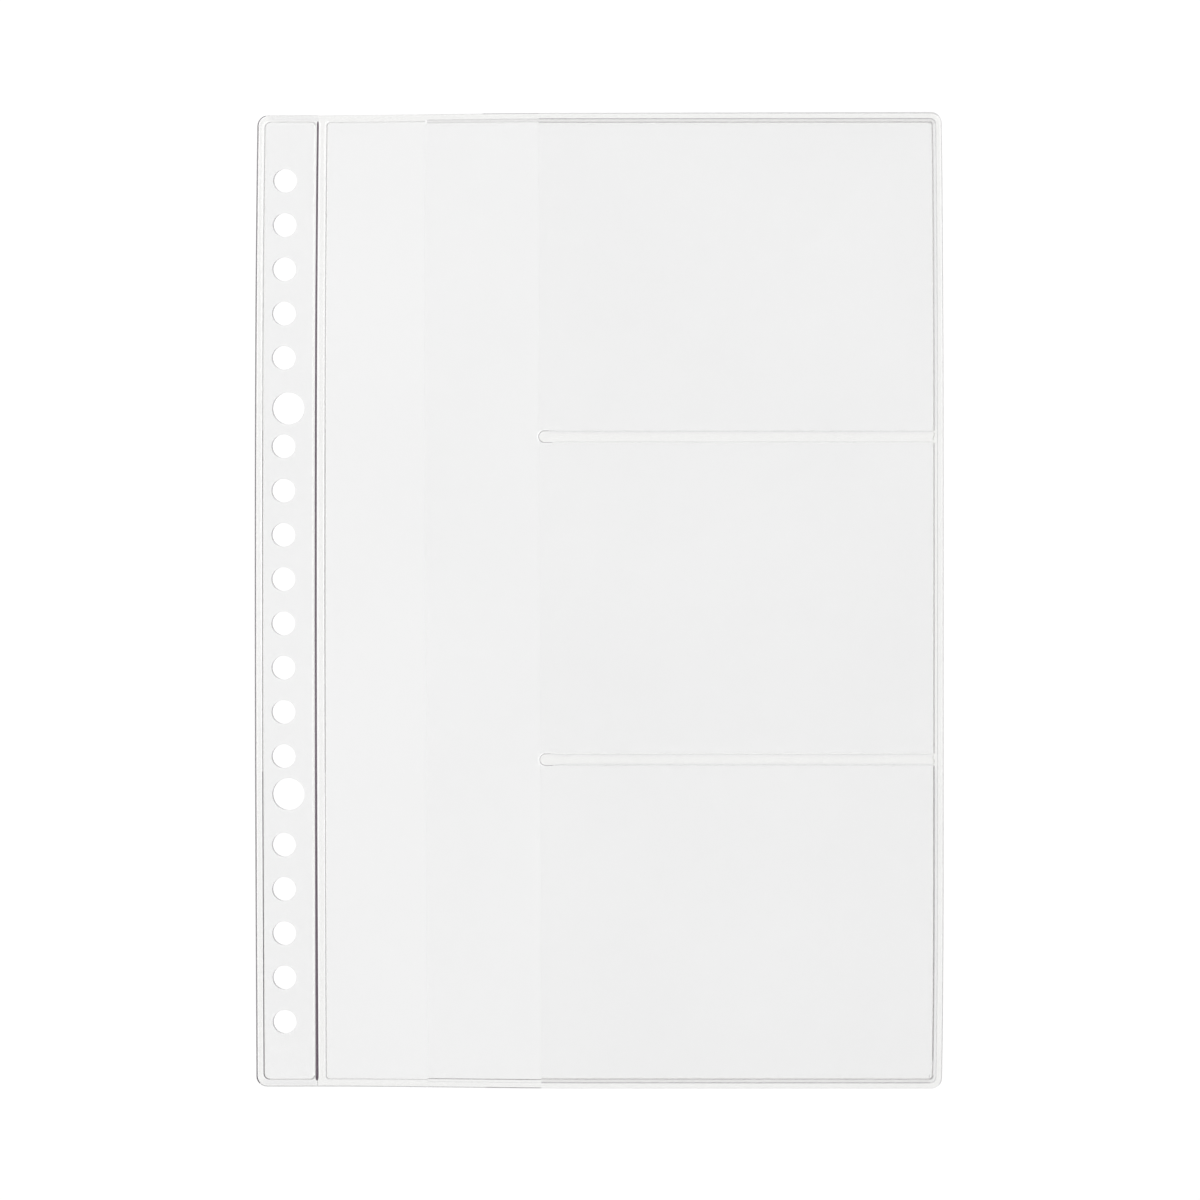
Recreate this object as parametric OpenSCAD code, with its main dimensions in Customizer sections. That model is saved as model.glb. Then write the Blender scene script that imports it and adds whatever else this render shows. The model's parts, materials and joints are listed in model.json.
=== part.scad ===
// Loose-leaf binder page of clear vinyl film with three card pockets in front of one long pocket.
// The page lies flat in the XY plane with its pocket side up. The bound edge is on the -X side.
// Places across the page are measured from the bound edge, and places along it from its middle.

/* [Page] */
// Width of the page, from the bound edge to the fore edge
page_w = 148; // [135:1:170]
// Height of the page, along the binding
page_h = 210; // [205:1:250]
// Radius of the outer corners
corner_r = 2; // [1:0.1:4]
// Thickness of every vinyl film
film_t = 0.2; // [0.15:0.01:0.3]
// Air between two films that lie on each other in a pocket
air_gap = 0.1; // [0.05:0.01:0.3]

/* [Ring holes] */
// Number of ring positions along the margin
ring_count = 20; // [16:2:20]
// Distance from one ring position to the next
ring_pitch = 9.5; // [9:0.05:9.8]
// Diameter of the small ring holes
ring_hole_d = 5; // [4.5:0.1:5.5]
// Distance of the small ring holes from the bound edge
ring_inset = 6.1; // [5:0.1:7]
// Diameter of the two wide holes, which also take the rings of a two-ring binder
wide_hole_d = 6.8; // [6:0.1:7]
// Distance between the two wide holes
wide_spacing = 82.75; // [81:0.25:85]
// Distance of the wide holes from the bound edge
wide_inset = 7.1; // [6.5:0.1:8]

/* [Spine hinge] */
// Distance of the crease beside the holes from the bound edge
crease_x = 13.1; // [12.5:0.1:15]
// Diameter of the round bead of vinyl on the crease
crease_bead_d = 0.4; // [0.3:0.01:0.6]
// Clearance between that bead and the film on each side of it
crease_clear = 0.05; // [0.03:0.01:0.1]
// Width of the weld that binds the leaf beside the crease
binding_seam_w = 1.9; // [1.2:0.1:3]

/* [Weld seams] */
// Width of the weld along the bound edge
spine_seam_w = 1.6; // [1:0.1:2]
// Width of the welds along the top, the bottom and the fore edge
seam_w = 2.1; // [1.5:0.1:3]
// Height of the weld above a single film
weld_ridge = 0.1; // [0.05:0.01:0.15]
// Width of the two welds that divide the card pockets
divider_w = 2.3; // [1.5:0.1:4]
// Length by which a divider runs past the mouths of the card pockets
divider_lead = 0.3; // [0.1:0.1:1]
// Diameter of the half-round weld bead at the closed end of a card pocket
end_bead_d = 0.3; // [0.2:0.01:0.34]

/* [Pockets] */
// Distance of the long pocket's mouth from the bound edge
long_mouth_x = 37; // [25:0.1:45]
// Distance of the card pockets' mouths from the bound edge
card_mouth_x = 61.1; // [55:0.1:80]
// Clearance around the edges of a film that can lift
film_clear = 0.05; // [0.03:0.01:0.1]

/* [Hidden] */
$fn = 64;

// Levels of the films above the surface that the page lies on
margin_top = 2 * film_t;
long_z = film_t + air_gap;
card_z = long_z + film_t + air_gap;
one_film_top = film_t + weld_ridge;
two_film_top = long_z + film_t;
three_film_top = card_z + film_t;

// Inner faces of the weld seams
inner_h = page_h - 2 * seam_w;
fore_x = page_w - seam_w;
crease_half = crease_bead_d / 2 + crease_clear;
margin_end_x = crease_x - crease_half;
leaf_start_x = crease_x + crease_half;
back_start_x = leaf_start_x + binding_seam_w;

// Three equal pockets between the seams and the dividers
pocket_h = (inner_h - 2 * divider_w) / 3;
pocket_step = pocket_h + divider_w;
panel_start_x = card_mouth_x - divider_lead;
lip_end_x = panel_start_x - film_clear;
card_end_x = fore_x - end_bead_d / 2 - film_clear;

// Ring positions, less those that the two wide holes take
ring_ys = [
  for (i = [0:ring_count - 1])
    let (y = (i - (ring_count - 1) / 2) * ring_pitch)
      if (abs(abs(y) - wide_spacing / 2) > ring_pitch / 2) y
];
wide_ys = [-wide_spacing / 2, wide_spacing / 2];

// Depth by which a cutting tool runs past the faces that it cuts
cut = 1;

film_colour = [0.90, 0.91, 0.93, 0.45];
weld_colour = [0.78, 0.79, 0.82, 0.6];
crease_colour = [0.42, 0.40, 0.46, 1];

// Flat piece between two places across the page, two along it and two levels
module slab(xs, ys, zs) {
  translate([xs[0] - page_w / 2, ys[0], zs[0]])
    cube([xs[1] - xs[0], ys[1] - ys[0], zs[1] - zs[0]]);
}

// Flat piece of a given height centred along the page
module centred_slab(xs, height, zs) {
  slab(xs, [-height / 2, height / 2], zs);
}

module page_outline() {
  square([page_w - 2 * corner_r, page_h], center = true);
  square([page_w, page_h - 2 * corner_r], center = true);
  for (x = [-1, 1])
    for (y = [-1, 1])
      translate([x * (page_w / 2 - corner_r), y * (page_h / 2 - corner_r)])
        circle(r = corner_r);
}

// Part of a weld that lies inside the page's rounded outline
module within_page() {
  intersection() {
    children();
    linear_extrude(three_film_top)
      page_outline();
  }
}

module ring_holes() {
  for (y = ring_ys)
    translate([ring_inset - page_w / 2, y, -cut])
      cylinder(d = ring_hole_d, h = margin_top + 2 * cut);
  for (y = wide_ys)
    translate([wide_inset - page_w / 2, y, -cut])
      cylinder(d = wide_hole_d, h = margin_top + 2 * cut);
}

module margin_film(zs) {
  difference() {
    centred_slab([spine_seam_w, margin_end_x], inner_h, zs);
    ring_holes();
  }
}

// Weld along the top (side 1) or the bottom (side -1) of the page
module edge_slab(side, xs, top) {
  middle = side * (page_h - seam_w) / 2;
  slab(xs, [middle - seam_w / 2, middle + seam_w / 2], [0, top]);
}

module spine_end_seam(side) {
  within_page()
    edge_slab(side, [spine_seam_w, margin_end_x], margin_top);
}

// Weld that steps up where the long-pocket film and the card film begin
module stepped_seam(side) {
  within_page()
    union() {
      edge_slab(side, [leaf_start_x, fore_x], one_film_top);
      edge_slab(side, [long_mouth_x, fore_x], two_film_top);
      edge_slab(side, [card_mouth_x, fore_x], three_film_top);
    }
}

// Weld between two card pockets, with a round end at the mouths
module divider(side) {
  round_x = panel_start_x + divider_w / 2;
  translate([-page_w / 2, side * pocket_step / 2, film_t])
    linear_extrude(three_film_top - film_t) {
      translate([round_x, 0])
        circle(d = divider_w);
      translate([round_x, -divider_w / 2])
        square([fore_x - round_x, divider_w]);
    }
}

// Half-round bead on the inner face of the fore edge weld, level with a card film
module end_bead(row) {
  translate([fore_x - page_w / 2, row * pocket_step + pocket_h / 2, card_z + film_t / 2])
    rotate([90, 0, 0])
      linear_extrude(pocket_h)
        intersection() {
          circle(d = end_bead_d);
          translate([-end_bead_d, -end_bead_d])
            square([end_bead_d, 2 * end_bead_d]);
        }
}

// Film of a pocket row: 1 is the upper row, 0 the middle one and -1 the lower one
module row_film(row, xs, z, clear) {
  low_y = row * pocket_step - pocket_h / 2;
  slab(xs, [low_y + clear, low_y + pocket_h - clear], [z, z + film_t]);
}

module long_pocket_panel(row) {
  row_film(row, [panel_start_x, fore_x], long_z, 0);
}

module card_film(row) {
  row_film(row, [card_mouth_x, card_end_x], card_z, film_clear);
}

module punched_margin() {
  color(film_colour)
    margin_film([0, film_t]);
}

module reinforcing_strip() {
  color(film_colour)
    margin_film([film_t, margin_top]);
}

module spine_edge_seam() {
  color(weld_colour)
    within_page()
      centred_slab([0, spine_seam_w], page_h, [0, margin_top]);
}

module spine_top_seam() {
  color(weld_colour)
    spine_end_seam(1);
}

module spine_bottom_seam() {
  color(weld_colour)
    spine_end_seam(-1);
}

// Round bead level with the margin's upper face, with the web that holds it to the reinforcing strip
module crease_bead() {
  color(crease_colour) {
    translate([crease_x - page_w / 2, 0, margin_top])
      rotate([90, 0, 0])
        cylinder(d = crease_bead_d, h = inner_h, center = true);
    centred_slab([margin_end_x, crease_x], inner_h, [film_t, margin_top]);
  }
}

module back_sheet() {
  color(film_colour)
    centred_slab([back_start_x, fore_x], inner_h, [0, film_t]);
}

module binding_seam() {
  color(weld_colour)
    centred_slab([leaf_start_x, back_start_x], inner_h, [0, margin_top]);
}

module top_seam() {
  color(weld_colour)
    stepped_seam(1);
}

module bottom_seam() {
  color(weld_colour)
    stepped_seam(-1);
}

module fore_edge_seam() {
  color(weld_colour)
    within_page()
      centred_slab([fore_x, page_w], page_h, [0, three_film_top]);
}

module upper_divider_seam() {
  color(weld_colour)
    divider(1);
}

module lower_divider_seam() {
  color(weld_colour)
    divider(-1);
}

module closed_end_beads() {
  color(weld_colour)
    for (row = [-1:1])
      end_bead(row);
}

module long_pocket_upper_panel() {
  color(film_colour)
    long_pocket_panel(1);
}

module long_pocket_middle_panel() {
  color(film_colour)
    long_pocket_panel(0);
}

module long_pocket_lower_panel() {
  color(film_colour)
    long_pocket_panel(-1);
}

// Free stretch of the long-pocket film, from its mouth to the ends of the dividers
module long_pocket_lip() {
  color(film_colour)
    centred_slab([long_mouth_x, lip_end_x], inner_h - 2 * film_clear, [long_z, long_z + film_t]);
}

module upper_card_film() {
  color(film_colour)
    card_film(1);
}

module middle_card_film() {
  color(film_colour)
    card_film(0);
}

module lower_card_film() {
  color(film_colour)
    card_film(-1);
}

punched_margin();
reinforcing_strip();
spine_edge_seam();
spine_top_seam();
spine_bottom_seam();
crease_bead();
back_sheet();
binding_seam();
top_seam();
bottom_seam();
fore_edge_seam();
upper_divider_seam();
lower_divider_seam();
closed_end_beads();
long_pocket_upper_panel();
long_pocket_middle_panel();
long_pocket_lower_panel();
long_pocket_lip();
upper_card_film();
middle_card_film();
lower_card_film();
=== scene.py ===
import json
import math

import bmesh
import bpy
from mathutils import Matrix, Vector
from mathutils.geometry import delaunay_2d_cdt


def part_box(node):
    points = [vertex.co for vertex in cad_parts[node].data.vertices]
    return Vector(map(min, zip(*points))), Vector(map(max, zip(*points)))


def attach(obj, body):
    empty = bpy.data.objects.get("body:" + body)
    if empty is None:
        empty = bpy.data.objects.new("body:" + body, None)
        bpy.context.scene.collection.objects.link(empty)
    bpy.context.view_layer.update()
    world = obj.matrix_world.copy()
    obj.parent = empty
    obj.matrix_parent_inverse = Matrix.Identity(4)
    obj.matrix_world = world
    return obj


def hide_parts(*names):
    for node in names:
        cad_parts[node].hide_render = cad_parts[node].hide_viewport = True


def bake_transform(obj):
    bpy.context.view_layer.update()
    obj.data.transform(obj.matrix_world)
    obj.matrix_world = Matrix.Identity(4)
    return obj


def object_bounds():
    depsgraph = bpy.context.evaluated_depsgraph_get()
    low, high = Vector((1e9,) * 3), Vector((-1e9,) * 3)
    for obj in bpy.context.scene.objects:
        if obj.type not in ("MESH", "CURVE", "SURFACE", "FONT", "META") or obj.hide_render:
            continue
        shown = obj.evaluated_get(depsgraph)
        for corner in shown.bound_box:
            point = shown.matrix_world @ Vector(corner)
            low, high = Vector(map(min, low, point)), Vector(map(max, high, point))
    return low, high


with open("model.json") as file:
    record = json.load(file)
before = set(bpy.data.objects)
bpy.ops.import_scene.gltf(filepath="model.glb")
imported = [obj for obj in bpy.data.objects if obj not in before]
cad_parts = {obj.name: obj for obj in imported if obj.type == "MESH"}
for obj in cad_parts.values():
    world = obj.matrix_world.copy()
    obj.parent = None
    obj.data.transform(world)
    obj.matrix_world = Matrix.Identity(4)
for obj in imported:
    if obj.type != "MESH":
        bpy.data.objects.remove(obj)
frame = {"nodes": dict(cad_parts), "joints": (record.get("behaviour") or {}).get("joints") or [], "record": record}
cadLow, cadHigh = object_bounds()  # the CAD box, before any piece is made

mm = 0.001  # sizes below are in millimetres
halfWidth = (cadHigh.x - cadLow.x) / 2 / mm
halfHeight = (cadHigh.y - cadLow.y) / 2 / mm
hinges = {joint["name"]: Vector(joint["pos_m"]) / mm for joint in frame["joints"]}
creaseX = hinges["spine_crease"].x


def nodeBox(node):
    low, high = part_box(node)
    return low / mm, high / mm


def smooth(t):
    t = min(max(t, 0.0), 1.0)
    return t * t * (3 - 2 * t)


print("frame loaded:", len(frame["nodes"]), "nodes")

# How the soft page lies: its outline bows a little between the corners, and it rests in low waves
pageLay = {
    "left": {"middle": -0.09, "top": 0.59, "topPower": 2.7, "bottom": 0.37, "bottomPower": 1.6},
    "right": {"middle": -0.04, "top": -0.45, "topPower": 3.5, "bottom": -0.41, "bottomPower": 6.0},
    "topMiddle": -0.15, "topTilt": 0.18, "edgeReach": 14.0,
    "topShort": -0.36, "topShortFrom": 0.15, "topShortReach": 0.7,  # the bound side is a little shorter
    "bottomMiddle": 0.15, "bottomShort": 0.42, "bottomShortReach": 0.8,
    "leafDrift": 0.55, "driftPower": 4, "driftReach": 25.0, "marginDrift": -0.14, "marginStretch": 0.0016,
    "waveRise": 0.09, "flatReach": 16.0,
    # each wave's length along x and along y, its phase and its weight
    "waves": ((83.0, 190.0, 0.6, 1.0), (-260.0, 97.0, 2.1, 1.0), (41.0, 53.0, 4.0, 0.5)),
}


def bow(side, v):
    if v > 0:
        return side["middle"] + side["top"] * v ** side["topPower"]
    return side["middle"] + side["bottom"] * (-v) ** side["bottomPower"]


def settled(x, y):
    u = x / halfWidth
    v = min(max(y / halfHeight, -1.0), 1.0)
    fromLeft = (1 + u) / 2
    newX = x + bow(pageLay["left"], v) * (1 - fromLeft) + bow(pageLay["right"], v) * fromLeft
    top = pageLay["topMiddle"] + pageLay["topTilt"] * u
    top += pageLay["topShort"] * smooth((-u - pageLay["topShortFrom"]) / pageLay["topShortReach"])
    bottom = pageLay["bottomMiddle"] + pageLay["bottomShort"] * smooth(-u / pageLay["bottomShortReach"])
    nearTop = smooth(1 - (halfHeight - y) / pageLay["edgeReach"])
    nearBottom = smooth(1 - (halfHeight + y) / pageLay["edgeReach"])
    onLeaf = smooth((x - creaseX) / pageLay["driftReach"])
    drift = pageLay["leafDrift"] * (1 - v ** pageLay["driftPower"]) * onLeaf
    drift += (pageLay["marginDrift"] + pageLay["marginStretch"] * y) * (1 - onLeaf)
    newY = y + top * nearTop + bottom * nearBottom + drift * (1 - nearTop) * (1 - nearBottom)
    return newX, newY


def waveAt(x, y):
    total = 0.0
    most = 0.0
    for lengthX, lengthY, phase, weight in pageLay["waves"]:
        total += weight * math.sin(math.tau * (x / lengthX + y / lengthY) + phase)
        most += weight
    fromCrease = smooth(abs(x - creaseX) / pageLay["flatReach"])
    return pageLay["waveRise"] * (1 + total / most) * fromCrease  # never below the surface it lies on


def placed(x, y, z):
    newX, newY = settled(x, y)
    return newX, newY, z + waveAt(x, y)


def mathNode(tree, operation, *values):
    node = tree.nodes.new("ShaderNodeMath")
    node.operation = operation
    for socket, value in zip(node.inputs, values):
        if isinstance(value, (int, float)):
            socket.default_value = value
        else:
            tree.links.new(value, socket)
    return node.outputs[0]


def mixShaders(tree, share, first, second):
    node = tree.nodes.new("ShaderNodeMixShader")
    tree.links.new(share, node.inputs["Fac"])
    tree.links.new(first, node.inputs[1])
    tree.links.new(second, node.inputs[2])
    return node.outputs["Shader"]


# Shader group shared by every vinyl finish: patchy haze, fine grain and faint scuffs
skinPattern = {
    "patchDetail": 1.0, "patchHeight": 2.0, "grainDetail": 0.0,
    "scuffDetail": 2.0, "scuffTurn": 32.0, "scuffStretch": (0.6, 14.0, 1.0),
    "scuffFrom": 0.60, "scuffTo": 0.78, "scuffRoughness": 0.15,
}


def makeVinylSkin():
    group = bpy.data.node_groups.new("vinylSkin", "ShaderNodeTree")
    colours = ("Tint", "Shade", "Colour")
    sockets = {
        "INPUT": (
            "Tint", "Shade", "Haze", "Haze Change", "Roughness", "Roughness Change",
            "Patch Scale", "Grain Scale", "Scuffs",
        ),
        "OUTPUT": ("Colour", "Haze", "Roughness", "Height"),
    }
    for side, names in sockets.items():
        for name in names:
            kind = "NodeSocketColor" if name in colours else "NodeSocketFloat"
            group.interface.new_socket(name=name, in_out=side, socket_type=kind)
    nodes = group.nodes
    links = group.links
    given = nodes.new("NodeGroupInput").outputs
    result = nodes.new("NodeGroupOutput").inputs
    place = nodes.new("ShaderNodeTexCoord").outputs["Object"]

    def noise(scale, detail, vector):
        node = nodes.new("ShaderNodeTexNoise")
        node.inputs["Detail"].default_value = detail
        links.new(vector, node.inputs["Vector"])
        links.new(scale, node.inputs["Scale"])
        return node.outputs["Fac"]

    def swing(value):
        return mathNode(group, "MULTIPLY_ADD", value, 2.0, -1.0)  # from 0..1 to -1..1

    patches = noise(given["Patch Scale"], skinPattern["patchDetail"], place)
    grain = noise(given["Grain Scale"], skinPattern["grainDetail"], place)
    stretch = nodes.new("ShaderNodeMapping")
    stretch.inputs["Rotation"].default_value = (0, 0, math.radians(skinPattern["scuffTurn"]))
    stretch.inputs["Scale"].default_value = skinPattern["scuffStretch"]
    links.new(place, stretch.inputs["Vector"])
    streaks = noise(given["Patch Scale"], skinPattern["scuffDetail"], stretch.outputs["Vector"])
    scuffs = nodes.new("ShaderNodeMapRange")
    scuffs.inputs["From Min"].default_value = skinPattern["scuffFrom"]
    scuffs.inputs["From Max"].default_value = skinPattern["scuffTo"]
    links.new(streaks, scuffs.inputs["Value"])
    scuffed = mathNode(group, "MULTIPLY", scuffs.outputs["Result"], given["Scuffs"])

    mix = nodes.new("ShaderNodeMix")
    mix.data_type = "RGBA"
    links.new(patches, mix.inputs["Factor"])
    links.new(given["Tint"], mix.inputs["A"])
    links.new(given["Shade"], mix.inputs["B"])
    links.new(mix.outputs["Result"], result["Colour"])

    change = mathNode(group, "MULTIPLY_ADD", swing(patches), given["Haze Change"], 1.0)
    links.new(mathNode(group, "MULTIPLY", given["Haze"], change), result["Haze"])
    rough = mathNode(group, "MULTIPLY_ADD", swing(grain), given["Roughness Change"], given["Roughness"])
    rough = mathNode(group, "MULTIPLY_ADD", scuffed, skinPattern["scuffRoughness"], rough)
    links.new(rough, result["Roughness"])
    height = mathNode(group, "MULTIPLY_ADD", patches, skinPattern["patchHeight"], grain)
    links.new(height, result["Height"])
    return group


vinylSkin = makeVinylSkin()


def vinylFinish(name, look):
    material = bpy.data.materials.new(name)
    material.use_nodes = True
    tree = material.node_tree
    nodes = tree.nodes
    links = tree.links
    nodes.clear()
    skin = nodes.new("ShaderNodeGroup")
    skin.node_tree = vinylSkin
    skin.inputs["Tint"].default_value = (*look["tint"], 1)
    skin.inputs["Shade"].default_value = (*look["shade"], 1)
    skin.inputs["Haze"].default_value = look["haze"]
    skin.inputs["Haze Change"].default_value = look["hazeChange"]
    skin.inputs["Roughness"].default_value = look["rough"]
    skin.inputs["Roughness Change"].default_value = look["roughChange"]
    skin.inputs["Patch Scale"].default_value = look["patchScale"]
    skin.inputs["Grain Scale"].default_value = look["grainScale"]
    skin.inputs["Scuffs"].default_value = look["scuffs"]

    bump = nodes.new("ShaderNodeBump")
    bump.inputs["Strength"].default_value = look["bump"]
    bump.inputs["Distance"].default_value = look["bumpDistance"] * mm
    links.new(skin.outputs["Height"], bump.inputs["Height"])

    body = nodes.new("ShaderNodeBsdfPrincipled")
    body.inputs["IOR"].default_value = look["ior"]
    links.new(skin.outputs["Colour"], body.inputs["Base Color"])
    links.new(skin.outputs["Roughness"], body.inputs["Roughness"])
    links.new(skin.outputs["Haze"], body.inputs["Alpha"])
    links.new(bump.outputs["Normal"], body.inputs["Normal"])

    shine = nodes.new("ShaderNodeBsdfAnisotropic")
    shine.inputs["Color"].default_value = (1, 1, 1, 1)
    links.new(skin.outputs["Roughness"], shine.inputs["Roughness"])
    links.new(bump.outputs["Normal"], shine.inputs["Normal"])

    # the share that a clear surface mirrors, low head on and high at a slant
    facing = nodes.new("ShaderNodeLayerWeight")
    facing.inputs["Blend"].default_value = look["slantBlend"]
    slant = mathNode(tree, "POWER", facing.outputs["Facing"], look["slantPower"])
    share = mathNode(tree, "MULTIPLY_ADD", slant, 1 - look["headOn"], look["headOn"])
    glossed = mixShaders(tree, share, body.outputs["BSDF"], shine.outputs["BSDF"])

    # a film is seen once, by the face toward the eye; scattered light goes through it,
    # and lamps leave a faint shadow
    geometry = nodes.new("ShaderNodeNewGeometry")
    path = nodes.new("ShaderNodeLightPath")
    clear = nodes.new("ShaderNodeBsdfTransparent").outputs["BSDF"]
    shadow = nodes.new("ShaderNodeBsdfTransparent")
    shadow.inputs["Color"].default_value = (*[look["lampPass"]] * 3, 1)
    oneFaced = mixShaders(tree, geometry.outputs["Backfacing"], glossed, clear)
    scattered = mixShaders(tree, path.outputs["Is Diffuse Ray"], oneFaced, clear)
    seen = mixShaders(tree, path.outputs["Is Shadow Ray"], scattered, shadow.outputs["BSDF"])
    out = nodes.new("ShaderNodeOutputMaterial")
    links.new(seen, out.inputs["Surface"])
    return material


plainVinyl = {
    "hazeChange": 0.06, "rough": 0.09, "roughChange": 0.03, "patchScale": 22.0, "grainScale": 900.0,
    "scuffs": 0.2, "bump": 0.12, "bumpDistance": 0.1, "ior": 1.54,
    "headOn": 0.05, "slantBlend": 0.5, "slantPower": 5.0, "lampPass": 0.98,
}
finishes = {
    "backFilm": {"tint": (0.24, 0.24, 0.24), "shade": (0.19, 0.19, 0.19), "haze": 0.205, "lampPass": 0.98},
    "pocketFilm": {"tint": (0.58, 0.58, 0.58), "shade": (0.52, 0.52, 0.52), "haze": 0.05, "lampPass": 0.998},
    "mouthRim": {"tint": (0.62, 0.62, 0.62), "shade": (0.55, 0.55, 0.55), "haze": 0.06, "lampPass": 0.995},
    "weldBand": {"tint": (0.88, 0.87, 0.78), "shade": (0.82, 0.81, 0.71), "haze": 0.10, "lampPass": 0.99},
    "weldShade": {"tint": (0.34, 0.31, 0.29), "shade": (0.28, 0.25, 0.23), "haze": 0.20, "lampPass": 0.985},
    # a painted highlight: white lines beside the welds' ridges and the crease, where their slopes would catch the
    # lamps
    "lineGlow": {"tint": (1.0, 1.0, 1.0), "shade": (0.98, 0.98, 0.98), "haze": 0.72, "lampPass": 0.99},
    "cutEdge": {"tint": (0.30, 0.29, 0.30), "shade": (0.22, 0.21, 0.22), "haze": 0.75, "lampPass": 0.97},
    # the crease bead: near-black painted shade for the dark line of the crease
    "paintedCreaseShade": {
        "tint": (0.075, 0.036, 0.068), "shade": (0.042, 0.018, 0.038), "haze": 0.98, "lampPass": 0.99,
        "headOn": 0.025,
    },
}
plainLine = {"tint": (0.11, 0.10, 0.11), "shade": (0.08, 0.07, 0.08), "lampPass": 0.985}
lineHaze = {  # lines that a weld's edges draw, from dark to faint
    "lineDeep": 0.95, "lineDark": 0.66, "lineMid": 0.46,
    "lineSoft": 0.28, "lineFaint": 0.15, "lineHint": 0.07,
}
finishes.update({name: {**plainLine, "haze": haze} for name, haze in lineHaze.items()})
finishes["lineDeep"].update(tint=(0.075, 0.06, 0.075), shade=(0.05, 0.04, 0.05))
vinyl = {name: vinylFinish(name, {**plainVinyl, **look}) for name, look in finishes.items()}
print("finishes made:", len(vinyl))


# Meshes. A film's slots are the film itself, its cut edge and the rim of a mouth
meshing = {
    "sharpAngle": 40.0, "arcSteps": 6, "holePoints": 40,
    "gridRoom": 0.35,  # share of the grid's step that its points keep from holes and columns
    "sliverArea": 0.001, "onCircle": 0.01, "insideCircle": 0.999, "samePoint": 1e-5, "samePlace": 1e-3,
}
filmFinishes = ["backFilm", "cutEdge"]
pocketFinishes = ["pocketFilm", "cutEdge", "mouthRim"]
filmSlot, cutSlot, rimSlot = range(3)
weldFinishes = [
    "weldBand", "lineDeep", "lineDark", "lineMid", "lineSoft",
    "lineFaint", "lineHint", "lineGlow", "weldShade",
]
# slots of weldFinishes; the white slot paints highlights where slopes would catch the lamps
band, deep, dark, mid, soft, faint, hint, highlight, shade = range(9)  # slots of weldFinishes
plain = (band,) * 5  # a rail with no line on it


def newPiece(name, points, faces, slots, finishNames, turnOut):
    mesh = bpy.data.meshes.new(name)
    bm = bmesh.new()
    verts = [bm.verts.new(Vector(p) * mm) for p in points]
    for corners, slot in zip(faces, slots):
        face = bm.faces.new([verts[i] for i in corners])
        face.material_index = slot
        face.smooth = True
    if turnOut:  # films are made with their faces outward
        bmesh.ops.recalc_face_normals(bm, faces=bm.faces)
    bm.to_mesh(mesh)
    bm.free()
    mesh.set_sharp_from_angle(angle=math.radians(meshing["sharpAngle"]))
    for finish in finishNames:
        mesh.materials.append(vinyl[finish])
    piece = bpy.data.objects.new(name, mesh)
    bpy.context.scene.collection.objects.link(piece)
    return piece


def eased(t):
    return (1 - math.cos(math.pi * t)) / 2  # closer near the ends


def roundedPath(corners, radii, steps):
    # points along a line of square corners, each rounded to its radius, and the leg that each point is on,
    # with a half for the corner after it
    arcSteps = meshing["arcSteps"]
    corners = [Vector(c) for c in corners]
    points = []
    legs = []
    last = len(corners) - 1
    for i in range(last):
        here = corners[i]
        there = corners[i + 1]
        along = (there - here).normalized()
        begin = here + along * radii[i - 1] if i > 0 else here
        finish = there - along * radii[i] if i + 1 < last else there
        for k in range(steps[i]):
            points.append(begin.lerp(finish, eased(k / steps[i])))
            legs.append(i)
        if i + 1 < last:
            onward = (corners[i + 2] - there).normalized()
            centre = finish + onward * radii[i]
            for k in range(arcSteps):
                turn = math.pi / 2 * k / arcSteps
                points.append(centre - onward * radii[i] * math.cos(turn) + along * radii[i] * math.sin(turn))
                legs.append(i + 0.5)
    points.append(corners[-1])
    legs.append(last - 1)
    return points, legs


def sweptStrip(rails, base, slotAt):
    # rails are lines of (x, y, z) with as many points each, from one side of a weld to the other
    count = len(rails[0])
    points = [placed(*p) for rail in rails for p in rail]
    firstBase = len(points)
    points += [placed(x, y, base) for x, y, _ in rails[0]]
    lastBase = len(points)
    points += [placed(x, y, base) for x, y, _ in rails[-1]]
    top = (len(rails) - 1) * count
    faces = []
    slots = []
    for s in range(count - 1):
        for r in range(len(rails) - 1):
            a = r * count + s
            faces.append((a, a + 1, a + 1 + count, a + count))
            slots.append(slotAt(r, s))
        faces.append((firstBase + s, firstBase + s + 1, s + 1, s))
        slots.append(slotAt(0, s))
        faces.append((top + s, top + s + 1, lastBase + s + 1, lastBase + s))
        slots.append(slotAt(len(rails) - 2, s))
        faces.append((firstBase + s, lastBase + s, lastBase + s + 1, firstBase + s + 1))
        slots.append(0)
    for s in (0, count - 1):
        faces.append([firstBase + s, *(r * count + s for r in range(len(rails))), lastBase + s])
        slots.append(0)
    return points, faces, slots


def joined(*meshes):
    points = []
    faces = []
    slots = []
    for morePoints, moreFaces, moreSlots in meshes:
        start = len(points)
        points += morePoints
        faces += [[start + i for i in face] for face in moreFaces]
        slots += moreSlots
    return points, faces, slots


def rectangleLoop(x0, y0, x1, y1, radii, step):
    # anticlockwise from the lower left; radii for lower left, lower right, upper right, upper left
    corners = [(x0, y0), (x1, y0), (x1, y1), (x0, y1)]
    loop = []
    for i, corner in enumerate(corners):
        corner = Vector(corner)
        back = (Vector(corners[i - 1]) - corner).normalized()
        ahead = (Vector(corners[(i + 1) % 4]) - corner).normalized()
        radius = radii[i]
        centre = corner + (back + ahead) * radius
        arcSteps = meshing["arcSteps"] if radius > 0 else 0
        for k in range(arcSteps + 1):
            turn = math.pi / 2 * k / max(arcSteps, 1)
            loop.append(centre - ahead * radius * math.cos(turn) - back * radius * math.sin(turn))
        end = loop[-1]
        nextCorner = Vector(corners[(i + 1) % 4])
        stop = nextCorner - ahead * radii[(i + 1) % 4]
        count = max(1, round((stop - end).length / step))
        for k in range(1, count):
            loop.append(end.lerp(stop, k / count))
    return loop


def nothingAt(x, y):
    return 0


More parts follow.
